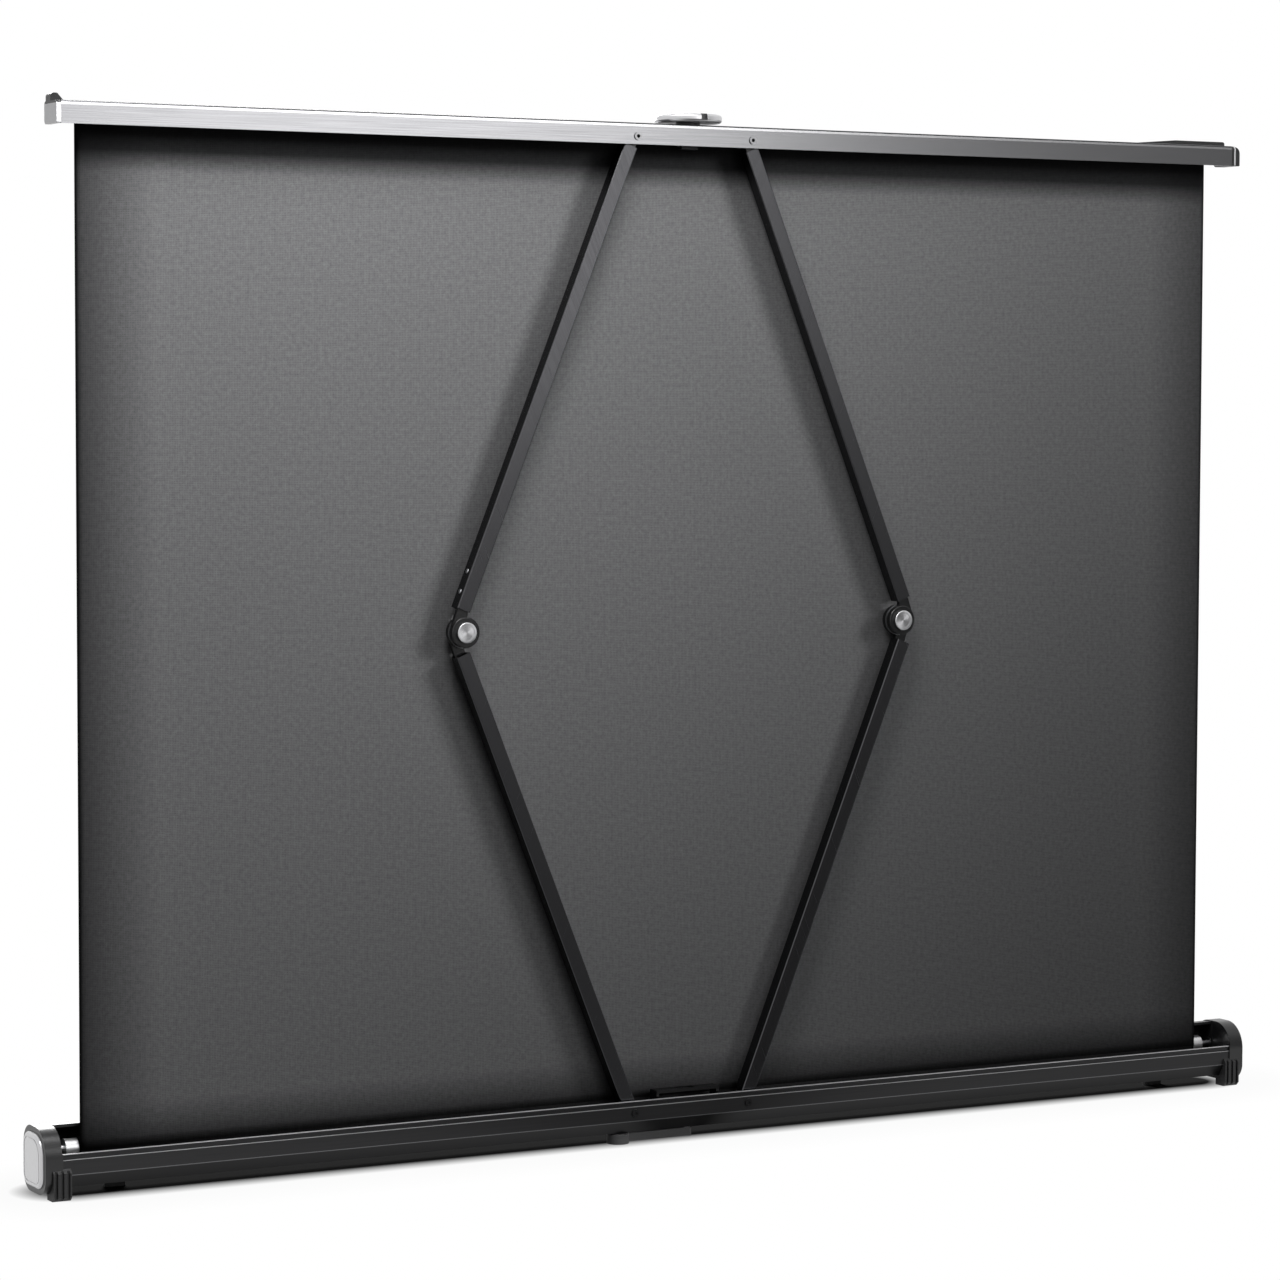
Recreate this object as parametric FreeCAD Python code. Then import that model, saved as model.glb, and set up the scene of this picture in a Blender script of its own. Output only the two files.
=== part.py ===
import FreeCAD, Part
import math
import os

# Tabletop pull-up projection screen: a sheet that rises out of a low base on a folding diamond of arms.
# Millimetres, +Z up. X runs along the base. The projection side faces +Y, the arms stand on the -Y side.
# The origin is on the floor under the middle of the base.

Vec = FreeCAD.Vector

# Sheet and roller
fabric_width = 855.0
fabric_thickness = 0.25
sheet_gap = 0.2
roller_diameter = 12.0
roller_wall = 1.2
roller_bare_end = 18.0
roller_end_gap = 9.5
roller_y = 6.0
roller_z = 28.0
wrap_thickness = 0.6
wrap_gap = 0.05
plug_length = 14.0
journal_diameter = 4.0
journal_length = 7.0
journal_end_gap = 1.0
journal_clearance = 0.05
bush_wall = 1.2
bush_flange = 0.7
bush_flange_thickness = 0.8
spring_length = 190.0
spring_wire = 1.2
spring_gap = 0.3
spring_collar_length = 8.0

# Folding arms
arm_length = 345.5
arm_width = 10.0
arm_depth = 10.0
arm_wall = 1.2
arm_edge_round = 0.8
arm_rest_angle = 68.0
arm_side_gap = 2.7
arm_pivot_setback = 6.5
arm_elbow_setback = 13.0
fold_gap = 3.8
tongue_length = 18.0
tongue_gap = 0.1
pivot_half_span = 43.5

# Pivot screws of the arms
base_pivot_drop = 8.0
pivot_diameter = 4.0
pivot_clearance = 0.05
pivot_head_diameter = 5.2
pivot_head_height = 0.9
pivot_nut_diameter = 7.0
pivot_nut_height = 2.2
drive_recess_diameter = 2.4
drive_recess_depth = 0.6
side_gap = 0.3

# Elbow joints
knuckle_diameter = 20.0
knuckle_edge_round = 0.6
elbow_pin_diameter = 6.0
elbow_washer_diameter = 20.6
elbow_washer_thickness = 1.0
elbow_face_gap = 0.1
elbow_cap_diameter = 13.6
elbow_cap_height = 2.2
elbow_cap_round = 0.6
elbow_cap_rim = 1.5
elbow_cap_dish = 0.5
elbow_clip_diameter = 11.0
elbow_clip_height = 1.4

# Base channel
base_depth = 38.0
base_wall = 1.8
base_floor_height = 7.5
back_edge_height = 29.0
base_chamfer = 4.0
base_slope_height = 8.0
base_slope_inset = 5.0
hood_round = 11.0
hood_gap = 1.2
edge_lip = 1.0
edge_groove = 2.6
edge_groove_depth = 0.8
closing_gap = 0.6

# End caps of the base
cap_thickness = 11.5
cap_proud = 0.8
cap_back_round = 18.0
cap_front_round = 13.0
cap_low_round = 12.0
cap_bottom_height = 3.0
inlay_inset = 3.6
inlay_thickness = 3.2
inlay_seat = 1.2
inlay_round = 1.8
inlay_ring_inset = 3.0
inlay_ring_width = 0.7
inlay_ring_depth = 0.4
cap_screw_diameter = 3.5
cap_screw_length = 7.0
cap_screw_head_diameter = 6.5
cap_screw_head_height = 2.2
cap_screw_spread = 11.0

# Feet
rib_foot_length = 12.0
rib_foot_lap = 5.0
rib_foot_proud = 2.6
rib_foot_height = 20.0
rib_foot_inset = 9.0
rib_count = 3
rib_groove_width = 1.8
rib_groove_depth = 1.6
front_pad_length = 14.0
front_pad_width = 5.0
front_pad_inset = 45.5
front_pad_margin = 0.4
front_pad_round = 1.5

# Swivel foot under the middle of the base
stay_reach = 51.0
stay_width = 9.0
stay_thickness = 5.6
stay_top_gap = 0.6
stay_inset = 10.5
stay_pad_diameter = 15.0
stay_pad_round = 1.0
stay_rivet_diameter = 5.0
stay_rivet_head_diameter = 8.0
stay_rivet_head_height = 1.0

# Rail at the top of the sheet
rail_overhang = 18.0
rail_wall = 1.5
rail_lip = 2.8
rail_lip_rise = 7.4
rail_headroom = 2.3
rail_cap_thickness = 3.0
rail_cap_right_thickness = 7.0
rail_cap_right_round = 5.5
rail_cap_round = 2.5
rail_cap_plug = 6.0
rail_cap_plug_gap = 0.15
rail_tab_length = 86.0
rail_tab_width = 8.0
rail_tab_height = 3.4
rail_hook_length = 9.0
rail_hook_height = 5.0
clamp_bar_thickness = 2.2
clamp_bar_height = 3.6

# Turn lock on the rail, and its catch in the base
knob_diameter = 45.0
knob_height = 5.4
knob_lift = 1.4
knob_edge_round = 2.0
knob_slot_width = 4.6
knob_slot_gap = 0.1
knob_collar_diameter = 16.0
knob_shaft_diameter = 5.0
knob_shaft_clearance = 0.05
cam_length = 12.4
cam_width = 5.4
cam_height = 3.0
cam_clearance = 0.5
catch_thickness = 2.0
catch_half_length = 24.0
catch_width = 9.0
catch_rise = 4.4
catch_foot = 9.0
catch_screw_diameter = 3.0
catch_screw_head_diameter = 5.6
catch_screw_head_height = 1.5

# One overrun for every through cut, and the smallest length that counts as one
overrun = 1.0
tiny = 1.0e-6

# Places worked out from the sizes above
fabric_half = fabric_width / 2
channel_half = fabric_half + roller_bare_end
cap_outer = channel_half + cap_thickness
rail_half = fabric_half + rail_overhang
roller_radius = roller_diameter / 2
roller_bore = roller_radius - roller_wall
wrap_radius = roller_radius + wrap_gap + wrap_thickness
roller_half = channel_half - roller_end_gap
journal_radius = journal_diameter / 2
pivot_radius = pivot_diameter / 2
pin_radius = elbow_pin_diameter / 2
knuckle_radius = knuckle_diameter / 2

back_y = -base_depth / 2
front_y = base_depth / 2
inner_back_y = back_y + base_wall
arm_back_y = inner_back_y + arm_side_gap
arm_front_y = arm_back_y + arm_depth
fabric_front_y = roller_y - wrap_radius - wrap_gap
fabric_back_y = fabric_front_y - fabric_thickness
rail_lip_y = fabric_front_y + sheet_gap
rail_front_y = rail_lip_y + rail_lip
rail_mid_y = (back_y + rail_front_y) / 2

elbow_offset = (arm_width + fold_gap) / 2
base_pivot_z = back_edge_height - base_pivot_drop
rest_angle = math.radians(arm_rest_angle)
elbow_x = pivot_half_span + arm_length * math.cos(rest_angle) - elbow_offset * math.sin(rest_angle)
elbow_z = base_pivot_z + arm_length * math.sin(rest_angle) + elbow_offset * math.cos(rest_angle)
rail_pivot_z = 2 * elbow_z - base_pivot_z
rail_pivot_rise = 2 * elbow_offset - base_pivot_drop - closing_gap
rail_height = rail_pivot_rise + arm_width / 2 + rail_headroom + rail_wall
rail_low = rail_pivot_z - rail_pivot_rise
rail_top = rail_low + rail_height
hood_top = back_edge_height + closing_gap + rail_height
hood_edge_y = rail_front_y + hood_gap
base_inside_z = base_floor_height + base_wall
stay_pivot_y = back_y + stay_inset
front_pad_x = channel_half - front_pad_inset
front_pad_y = front_y - base_chamfer - front_pad_margin - front_pad_width / 2


def box(x_span, y_span, z_span):
    """Block between three pairs of limits."""
    corner = Vec(x_span[0], y_span[0], z_span[0])
    return Part.makeBox(x_span[1] - x_span[0], y_span[1] - y_span[0], z_span[1] - z_span[0], corner)


def rod_x(x_span, y, z, radius):
    """Round bar along X."""
    return Part.makeCylinder(radius, x_span[1] - x_span[0], Vec(x_span[0], y, z), Vec(1, 0, 0))


def rod_y(y_span, x, z, radius):
    """Round bar along Y."""
    return Part.makeCylinder(radius, y_span[1] - y_span[0], Vec(x, y_span[0], z), Vec(0, 1, 0))


def rod_z(z_span, x, y, radius):
    """Round bar along Z."""
    return Part.makeCylinder(radius, z_span[1] - z_span[0], Vec(x, y, z_span[0]), Vec(0, 0, 1))


def outline(corners, place):
    """Face inside a closed run of corners, each (a, b, rounding radius), with place(a, b) as its points."""
    spots = [FreeCAD.Vector(a, b, 0) for a, b, radius in corners]
    runs = []
    edges = []
    for index, (a, b, radius) in enumerate(corners):
        here = spots[index]
        back = (spots[index - 1] - here).normalize()
        ahead = (spots[(index + 1) % len(spots)] - here).normalize()
        if radius < tiny:
            runs.append((here, here))
            continue
        half = back.getAngle(ahead) / 2
        reach = radius / math.tan(half)
        middle = here + (back + ahead).normalize() * (radius / math.sin(half) - radius)
        ends = (here + back * reach, here + ahead * reach)
        runs.append(ends)
        bend = [place(spot.x, spot.y) for spot in (ends[0], middle, ends[1])]
        edges.append(Part.Arc(*bend).toShape())
    for index, (first, last) in enumerate(runs):
        following = runs[(index + 1) % len(runs)][0]
        if last.distanceToPoint(following) > tiny:
            edges.append(Part.makeLine(place(last.x, last.y), place(following.x, following.y)))
    return Part.Face(Part.Wire(Part.__sortEdges__(edges)))


def prism_x(corners, x_span):
    """Outline in (y, z) carried along X."""
    face = outline(corners, lambda y, z: Vec(x_span[0], y, z))
    return face.extrude(Vec(x_span[1] - x_span[0], 0, 0))


def prism_y(corners, y_span):
    """Outline in (x, z) carried along Y."""
    face = outline(corners, lambda x, z: Vec(x, y_span[0], z))
    return face.extrude(Vec(0, y_span[1] - y_span[0], 0))


def prism_z(corners, z_span):
    """Outline in (x, y) carried along Z."""
    face = outline(corners, lambda x, y: Vec(x, y, z_span[0]))
    return face.extrude(Vec(0, 0, z_span[1] - z_span[0]))


def sharp(points):
    """Corners without rounding."""
    return [(a, b, 0) for a, b in points]


def rounded_rim(shape, radius, at_end):
    """Shape with the edges rounded whose middle passes the test at_end."""
    rims = [edge for edge in shape.Edges if at_end(edge.CenterOfMass)]
    return shape.makeFillet(radius, rims)


def flipped(shape):
    """The same piece on the other side of the middle."""
    return shape.mirror(Vec(0, 0, 0), Vec(1, 0, 0))


def raised(shape):
    """The same piece above the elbows instead of below."""
    return shape.mirror(Vec(0, 0, elbow_z), Vec(0, 0, 1))


def save(name, *shapes):
    """Writes one node, a single solid or a group of alike solids."""
    shape = shapes[0] if len(shapes) == 1 else Part.makeCompound(list(shapes))
    shape.exportStep("parts/" + name + ".step")


def save_pair(name, shape):
    """Writes a right-hand piece and its left-hand mirror."""
    save(name + "_right", shape)
    save(name + "_left", flipped(shape))


def base_channel():
    """Extruded trough: low back wall with a grooved edge, floor, front wall and a hood over the roller."""
    lip_z = back_edge_height - edge_lip
    groove_z = lip_z - edge_groove
    groove_y = back_y + edge_groove_depth
    slope = edge_groove_depth / 2
    low = base_floor_height
    inner_front_y = front_y - base_wall
    inner_chamfer = base_chamfer - base_wall * math.tan(math.pi / 8)
    wall_bend = math.atan2(base_slope_inset, base_slope_height)
    floor_bend = math.pi / 2 - wall_bend
    corners = sharp([
        (inner_back_y, back_edge_height),
        (back_y, back_edge_height),
        (back_y, lip_z),
        (groove_y, lip_z - slope),
        (groove_y, groove_z + slope),
        (back_y, groove_z),
        (back_y, low + base_slope_height),
        (back_y + base_slope_inset, low),
        (front_y - base_chamfer, low),
        (front_y, low + base_chamfer),
    ])
    corners.append((front_y, hood_top, hood_round))
    corners += sharp([
        (hood_edge_y, hood_top),
        (hood_edge_y, hood_top - base_wall),
    ])
    corners.append((inner_front_y, hood_top - base_wall, hood_round - base_wall))
    corners += sharp([
        (inner_front_y, base_inside_z + inner_chamfer),
        (inner_front_y - inner_chamfer, base_inside_z),
        (back_y + base_slope_inset + base_wall * math.tan(floor_bend / 2), base_inside_z),
        (inner_back_y, low + base_slope_height + base_wall * math.tan(wall_bend / 2)),
    ])
    channel = prism_x(corners, (-channel_half, channel_half))
    wall_span = (back_y - overrun, inner_back_y + overrun)
    for side in (-1, 1):
        channel = channel.cut(rod_y(wall_span, side * pivot_half_span, base_pivot_z, pivot_radius))
    floor_span = (base_floor_height - overrun, base_inside_z + overrun)
    channel = channel.cut(rod_z(floor_span, 0, stay_pivot_y, stay_rivet_diameter / 2))
    for spot in catch_screw_spots():
        channel = channel.cut(rod_z(floor_span, spot, rail_mid_y, catch_screw_diameter / 2))
    save("base_channel", channel)


def cap_corners(inset):
    """Side outline of a base end cap, drawn in by inset."""
    back = back_y - cap_proud + inset
    front = front_y + cap_proud - inset
    top = hood_top + cap_proud - inset
    low = cap_bottom_height + inset
    return [
        (back, top, cap_back_round - inset),
        (back, low, cap_low_round - inset),
        (front, low, cap_low_round - inset),
        (front, top, cap_front_round - inset),
    ]


def cap_screw_places():
    """Two screw axes of an end cap, above and below its middle."""
    middle = (hood_top + cap_proud + cap_bottom_height) / 2
    return [(0, middle - cap_screw_spread), (0, middle + cap_screw_spread)]


def end_caps():
    """Moulded caps that close the trough and hold the roller, with their screws and inlays."""
    inner = channel_half
    cap = prism_x(cap_corners(0), (inner, cap_outer))
    bed = (rail_half + closing_gap, rail_front_y + closing_gap)
    cap = cap.cut(box((inner - overrun, bed[0]), (back_y - cap_proud - overrun, bed[1]),
                      (back_edge_height, hood_top + cap_proud + overrun)))
    cap = cap.cut(rear_foot_block())
    seat = cap_outer - inlay_seat
    cap = cap.cut(prism_x(cap_corners(inlay_inset), (seat, cap_outer + overrun)))
    bore_radius = journal_radius + journal_clearance
    bush_radius = bore_radius + bush_wall
    bush_end = inner + journal_length
    cap = cap.cut(rod_x((inner - overrun, bush_end), roller_y, roller_z, bush_radius))
    head_face = seat - cap_screw_head_height
    screws = []
    for y, z in cap_screw_places():
        cap = cap.cut(rod_x((head_face, seat + overrun), y, z, cap_screw_head_diameter / 2))
        cap = cap.cut(rod_x((head_face - cap_screw_length, seat), y, z, cap_screw_diameter / 2))
        head = rod_x((head_face, seat), y, z, cap_screw_head_diameter / 2)
        shank = rod_x((head_face - cap_screw_length, head_face), y, z, cap_screw_diameter / 2)
        screws.append(head.fuse(shank).removeSplitter())
    save_pair("end_cap", cap)
    save("cap_screws", *screws, *[flipped(screw) for screw in screws])
    inlay_face = seat + inlay_thickness
    inlay = prism_x(cap_corners(inlay_inset + side_gap / 2), (seat, inlay_face))
    inlay = rounded_rim(inlay, inlay_round, lambda spot: spot.x > inlay_face - tiny)
    ring_inset = inlay_inset + inlay_ring_inset
    ring_span = (inlay_face - inlay_ring_depth, inlay_face + overrun)
    ring = prism_x(cap_corners(ring_inset), ring_span)
    ring = ring.cut(prism_x(cap_corners(ring_inset + inlay_ring_width), ring_span))
    save_pair("cap_inlay", inlay.cut(ring))
    flange_span = (inner - bush_flange_thickness, inner)
    bush = rod_x((inner, bush_end), roller_y, roller_z, bush_radius)
    bush = bush.fuse(rod_x(flange_span, roller_y, roller_z, bush_radius + bush_flange))
    bore_span = (inner - bush_flange_thickness - overrun, bush_end + overrun)
    bore = rod_x(bore_span, roller_y, roller_z, bore_radius)
    save_pair("roller_bush", bush.cut(bore).removeSplitter())


def rear_foot_block():
    """Outer form of a rear foot, which hugs the channel's low back edge and lets into the end cap."""
    outer_y = back_y - rib_foot_proud
    low = base_floor_height
    corners = sharp([
        (back_y, low + base_slope_height),
        (back_y, rib_foot_height),
        (outer_y, rib_foot_height - rib_foot_proud),
        (outer_y, rib_foot_proud),
        (outer_y + rib_foot_proud, 0),
        (back_y + rib_foot_inset, 0),
        (back_y + rib_foot_inset, low),
        (back_y + base_slope_inset, low),
    ])
    start = channel_half - rib_foot_lap
    return prism_x(corners, (start, start + rib_foot_length))


def feet():
    """Ribbed feet on the low back corners and plain pads under the front."""
    outer_y = back_y - rib_foot_proud
    foot = rear_foot_block()
    pitch = rib_foot_length / rib_count
    for rib in range(rib_count):
        start = channel_half - rib_foot_lap + rib * pitch + pitch / 2 - rib_groove_width / 2
        groove = box((start, start + rib_groove_width), (outer_y - overrun, outer_y + rib_groove_depth),
                     (-overrun, rib_foot_height + overrun))
        foot = foot.cut(groove)
    save_pair("rear_foot", foot)
    half = front_pad_length / 2
    side = front_pad_width / 2
    pad = prism_z([
        (front_pad_x - half, front_pad_y - side, front_pad_round),
        (front_pad_x + half, front_pad_y - side, front_pad_round),
        (front_pad_x + half, front_pad_y + side, front_pad_round),
        (front_pad_x - half, front_pad_y + side, front_pad_round),
    ], (0, base_floor_height))
    save_pair("front_pad", pad)


def swivel_foot():
    """Flat stay under the back edge that turns out behind the base, with its round pad and rivet."""
    top = base_floor_height - stay_top_gap
    low = top - stay_thickness
    half = stay_width / 2
    stay = box((-stay_reach, 0), (stay_pivot_y - half, stay_pivot_y + half), (low, top))
    stay = stay.fuse(rod_z((low, top), 0, stay_pivot_y, half)).removeSplitter()
    pad_radius = stay_pad_diameter / 2
    pad = rod_z((0, top), -stay_reach, stay_pivot_y, pad_radius)
    pad = rounded_rim(pad, stay_pad_round, lambda spot: spot.z > top - tiny)
    stay = stay.cut(rod_z((low - overrun, top + overrun), -stay_reach, stay_pivot_y, pad_radius))
    rivet_radius = stay_rivet_diameter / 2
    bore = rod_z((low - overrun, top + overrun), 0, stay_pivot_y, rivet_radius + pivot_clearance)
    save("swivel_stay", stay.cut(bore))
    save("stay_pad", pad)
    rivet_low = low - elbow_face_gap
    rivet = rod_z((rivet_low, base_inside_z), 0, stay_pivot_y, rivet_radius)
    low_head = (rivet_low - stay_rivet_head_height / 2, rivet_low)
    rivet = rivet.fuse(rod_z(low_head, 0, stay_pivot_y, stay_rivet_head_diameter / 2))
    high_head = (base_inside_z, base_inside_z + stay_rivet_head_height)
    rivet = rivet.fuse(rod_z(high_head, 0, stay_pivot_y, stay_rivet_head_diameter / 2))
    save("stay_rivet", rivet.removeSplitter())
    washer = rod_z((top, base_floor_height), 0, stay_pivot_y, stay_rivet_head_diameter / 2)
    save("stay_washer", washer.cut(rod_z((low, base_inside_z), 0, stay_pivot_y, rivet_radius)))


def roller():
    """Roller tube with its plugs, the spring that winds it and the last wraps of the sheet."""
    tube = rod_x((-roller_half, roller_half), roller_y, roller_z, roller_radius)
    tube = tube.cut(rod_x((-roller_half - overrun, roller_half + overrun), roller_y, roller_z, roller_bore))
    save("roller_tube", tube)
    wrap = rod_x((-fabric_half, fabric_half), roller_y, roller_z, wrap_radius)
    hollow = rod_x((-channel_half, channel_half), roller_y, roller_z, roller_radius + wrap_gap)
    save("sheet_wraps", wrap.cut(hollow))
    journal_end = channel_half + journal_length - journal_end_gap
    idle = rod_x((-roller_half, -roller_half + plug_length), roller_y, roller_z, roller_bore)
    idle = idle.fuse(rod_x((-journal_end, -roller_half), roller_y, roller_z, journal_radius))
    save("idle_plug", idle.removeSplitter())
    running = rod_x((-channel_half, journal_end), roller_y, roller_z, journal_radius + journal_clearance)
    drive = rod_x((roller_half - plug_length, roller_half), roller_y, roller_z, roller_bore)
    save("drive_plug", drive.cut(running))
    spring_end = roller_half - plug_length - spring_gap - spring_collar_length
    spring_start = spring_end - spring_length
    anchor_start = spring_start - plug_length
    anchor = rod_x((anchor_start, spring_start - spring_gap), roller_y, roller_z, roller_bore)
    save("spring_anchor", anchor.cut(running))
    rod = rod_x((anchor_start, channel_half + journal_length), roller_y, roller_z, journal_radius)
    collar_span = (spring_end, spring_end + spring_collar_length)
    spring_radius = journal_radius + spring_gap + spring_wire
    save("spring_rod", rod.fuse(rod_x(collar_span, roller_y, roller_z, spring_radius)).removeSplitter())
    spring = rod_x((spring_start, spring_end), roller_y, roller_z, spring_radius)
    save("torsion_spring", spring.cut(rod_x((spring_start, spring_end), roller_y, roller_z,
                                            journal_radius + spring_gap)))


def screen_sheet():
    """Sheet from the roller up to the bar that clamps it inside the rail."""
    under_top = rail_top - rail_wall
    save("screen_sheet", box((-fabric_half, fabric_half), (fabric_back_y, fabric_front_y),
                             (roller_z, under_top - sheet_gap)))
    clamp_y = fabric_back_y - sheet_gap
    save("clamp_bar", box((-fabric_half, fabric_half), (clamp_y - clamp_bar_thickness, clamp_y),
                          (under_top - clamp_bar_height, under_top)))


def arm_in_place(shape):
    """Lower right arm's piece, drawn along X from its pivot, turned and set on the base."""
    turned = shape.copy()
    turned.rotate(Vec(0, 0, 0), Vec(0, 1, 0), -arm_rest_angle)
    turned.translate(Vec(pivot_half_span, 0, base_pivot_z))
    return turned


def arm_bar():
    """Square tube of one arm."""
    side = arm_width / 2
    bore = side - arm_wall
    ends = (arm_pivot_setback, arm_length - arm_elbow_setback)
    bar = prism_x([
        (arm_back_y, -side, arm_edge_round),
        (arm_front_y, -side, arm_edge_round),
        (arm_front_y, side, arm_edge_round),
        (arm_back_y, side, arm_edge_round),
    ], ends)
    hollow = box((ends[0] - overrun, ends[1] + overrun), (arm_back_y + arm_wall, arm_front_y - arm_wall),
                 (-bore, bore))
    return bar.cut(hollow)


def pivot_lug():
    """Eye on the pivot screw, with a tongue that fills the end of the bar."""
    side = arm_width / 2
    tongue = side - arm_wall - tongue_gap
    inset = arm_wall + tongue_gap
    span = (inner_back_y + side_gap, arm_front_y)
    lug = rod_y(span, 0, 0, side)
    lug = lug.fuse(box((0, arm_pivot_setback + tongue_length), (arm_back_y + inset, arm_front_y - inset),
                       (-tongue, tongue)))
    bore = rod_y((span[0] - overrun, span[1] + overrun), 0, 0, pivot_radius + pivot_clearance)
    return lug.cut(bore).removeSplitter()


def knuckle(leaf, neck, bore_radius):
    """Half of an elbow: a round leaf between the depths leaf, with a tongue between the depths neck."""
    tongue = arm_width / 2 - arm_wall - tongue_gap
    bar_end = arm_length - arm_elbow_setback
    eye = rod_y(leaf, arm_length, elbow_offset, knuckle_radius)
    eye = rounded_rim(eye, knuckle_edge_round, lambda spot: abs(spot.y - sum(leaf) / 2) > tiny)
    arm = prism_y(sharp([
        (bar_end - tongue_length, -tongue),
        (bar_end, -tongue),
        (arm_length, elbow_offset - knuckle_radius),
        (arm_length, elbow_offset),
        (bar_end, tongue),
        (bar_end - tongue_length, tongue),
    ]), neck)
    bore = rod_y((leaf[0] - overrun, leaf[1] + overrun), arm_length, elbow_offset, bore_radius)
    return eye.fuse(arm).cut(bore).removeSplitter()


def arms():
    """Four arms that make the diamond, and the pins, washers and caps of the two elbows."""
    middle = (arm_back_y + arm_front_y) / 2
    half_joint = elbow_washer_thickness / 2 + elbow_face_gap
    inset = arm_wall + tongue_gap
    bar = arm_in_place(arm_bar())
    lug = arm_in_place(pivot_lug())
    front_leaf = (middle + half_joint, arm_front_y)
    front_neck = (middle + half_joint, arm_front_y - inset)
    back_leaf = (arm_back_y, middle - half_joint)
    back_neck = (arm_back_y + inset, middle - half_joint)
    lower_knuckle = arm_in_place(knuckle(front_leaf, front_neck, pin_radius))
    upper_knuckle = raised(arm_in_place(knuckle(back_leaf, back_neck, pin_radius + pivot_clearance)))
    save_pair("lower_arm", bar)
    save_pair("lower_lug", lug)
    save_pair("lower_knuckle", lower_knuckle)
    save_pair("upper_arm", raised(bar))
    save_pair("upper_lug", raised(lug))
    save_pair("upper_knuckle", upper_knuckle)
    cap_face = arm_back_y - elbow_face_gap
    clip_face = arm_front_y + elbow_face_gap
    save_pair("elbow_pin", rod_y((cap_face, clip_face), elbow_x, elbow_z, pin_radius))
    cap_front = cap_face - elbow_cap_height
    cap = rod_y((cap_front, cap_face), elbow_x, elbow_z, elbow_cap_diameter / 2)
    cap = rounded_rim(cap, elbow_cap_round, lambda spot: spot.y < cap_front + tiny)
    dish = rod_y((cap_front - overrun, cap_front + elbow_cap_dish), elbow_x, elbow_z,
                 elbow_cap_diameter / 2 - elbow_cap_rim)
    save_pair("elbow_cap", cap.cut(dish))
    clip = rod_y((clip_face, clip_face + elbow_clip_height), elbow_x, elbow_z, elbow_clip_diameter / 2)
    save_pair("elbow_clip", clip)
    washer_half = elbow_washer_thickness / 2
    washer = rod_y((middle - washer_half, middle + washer_half), elbow_x, elbow_z, elbow_washer_diameter / 2)
    save_pair("elbow_washer", washer.cut(rod_y((arm_back_y, arm_front_y), elbow_x, elbow_z, pin_radius)))


def pivot_screws():
    """Screws through the back walls of the base and the rail, each with its nut behind the arm."""
    head_face = back_y - pivot_head_height
    nut_face = arm_front_y + side_gap
    nut_end = nut_face + pivot_nut_height
    screw = rod_y((head_face, back_y), pivot_half_span, base_pivot_z, pivot_head_diameter / 2)
    screw = screw.fuse(rod_y((back_y, nut_end), pivot_half_span, base_pivot_z, pivot_radius))
    recess = rod_y((head_face, head_face + drive_recess_depth), pivot_half_span, base_pivot_z,
                   drive_recess_diameter / 2)
    screw = screw.cut(recess).removeSplitter()
    flats = []
    for corner in range(6):
        turn = math.radians(corner * 60)
        flats.append((pivot_half_span + pivot_nut_diameter / 2 * math.cos(turn),
                      base_pivot_z + pivot_nut_diameter / 2 * math.sin(turn)))
    nut = prism_y(sharp(flats), (nut_face, nut_end))
    nut = nut.cut(rod_y((nut_face, nut_end), pivot_half_span, base_pivot_z, pivot_radius))
    save_pair("base_pivot_screw", screw)
    save_pair("rail_pivot_screw", raised(screw))
    save("base_pivot_nuts", nut, flipped(nut))
    save("rail_pivot_nuts", raised(nut), flipped(raised(nut)))


def rail():
    """Rail along the top of the sheet: an extrusion open below, with an end cap at each end."""
    inner_back = back_y + rail_wall
    under_top = rail_top - rail_wall
    lip_low = rail_low + rail_lip_rise
    left_end = rail_half - rail_cap_thickness
    right_end = rail_half - rail_cap_right_thickness
    section = prism_x([
        (back_y, rail_low, 0),
        (back_y, rail_top, rail_wall / 2),
        (rail_front_y, rail_top, rail_wall / 2),
        (rail_front_y, lip_low, 0),
        (rail_lip_y, lip_low, 0),
        (rail_lip_y, under_top, 0),
        (inner_back, under_top, 0),
        (inner_back, rail_low, 0),
    ], (-left_end, right_end))
    for side in (-1, 1):
        wall_span = (back_y - overrun, inner_back + overrun)
        section = section.cut(rod_y(wall_span, side * pivot_half_span, rail_pivot_z, pivot_radius))
    shaft_hole = knob_shaft_diameter / 2 + knob_shaft_clearance
    section = section.cut(rod_z((under_top - overrun, rail_top + overrun), 0, rail_mid_y, shaft_hole))
    save("rail_channel", section)
    right = rail_cap(right_end).common(prism_y([
        (right_end - rail_cap_plug, rail_low, 0),
        (rail_half, rail_low, 0),
        (rail_half, rail_top, rail_cap_right_round),
        (right_end - rail_cap_plug, rail_top, 0),
    ], (back_y, rail_front_y)))
    tab_end = rail_half - rail_cap_right_round
    right = right.fuse(rail_tab(rail_tab_length, rail_tab_height, right_end, tab_end))
    left = rail_cap(left_end).fuse(rail_tab(rail_hook_length, rail_hook_height, left_end, rail_half))
    save("rail_cap_right", right.removeSplitter())
    save("rail_cap_left", flipped(left.removeSplitter()))


def rail_cap(end):
    """Cap of a rail that is cut off at end: a plate over the cut and a plug inside the rail."""
    plate = prism_x([
        (back_y, rail_low, rail_wall / 2),
        (back_y, rail_top, rail_cap_round),
        (rail_front_y, rail_top, rail_cap_round),
        (rail_front_y, rail_low, rail_cap_round),
    ], (end, rail_half))
    plug = box((end - rail_cap_plug, end),
               (back_y + rail_wall + rail_cap_plug_gap, rail_lip_y - rail_cap_plug_gap),
               (rail_low + rail_lip_rise, rail_top - rail_wall - rail_cap_plug_gap))
    return plate.fuse(plug)


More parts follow.
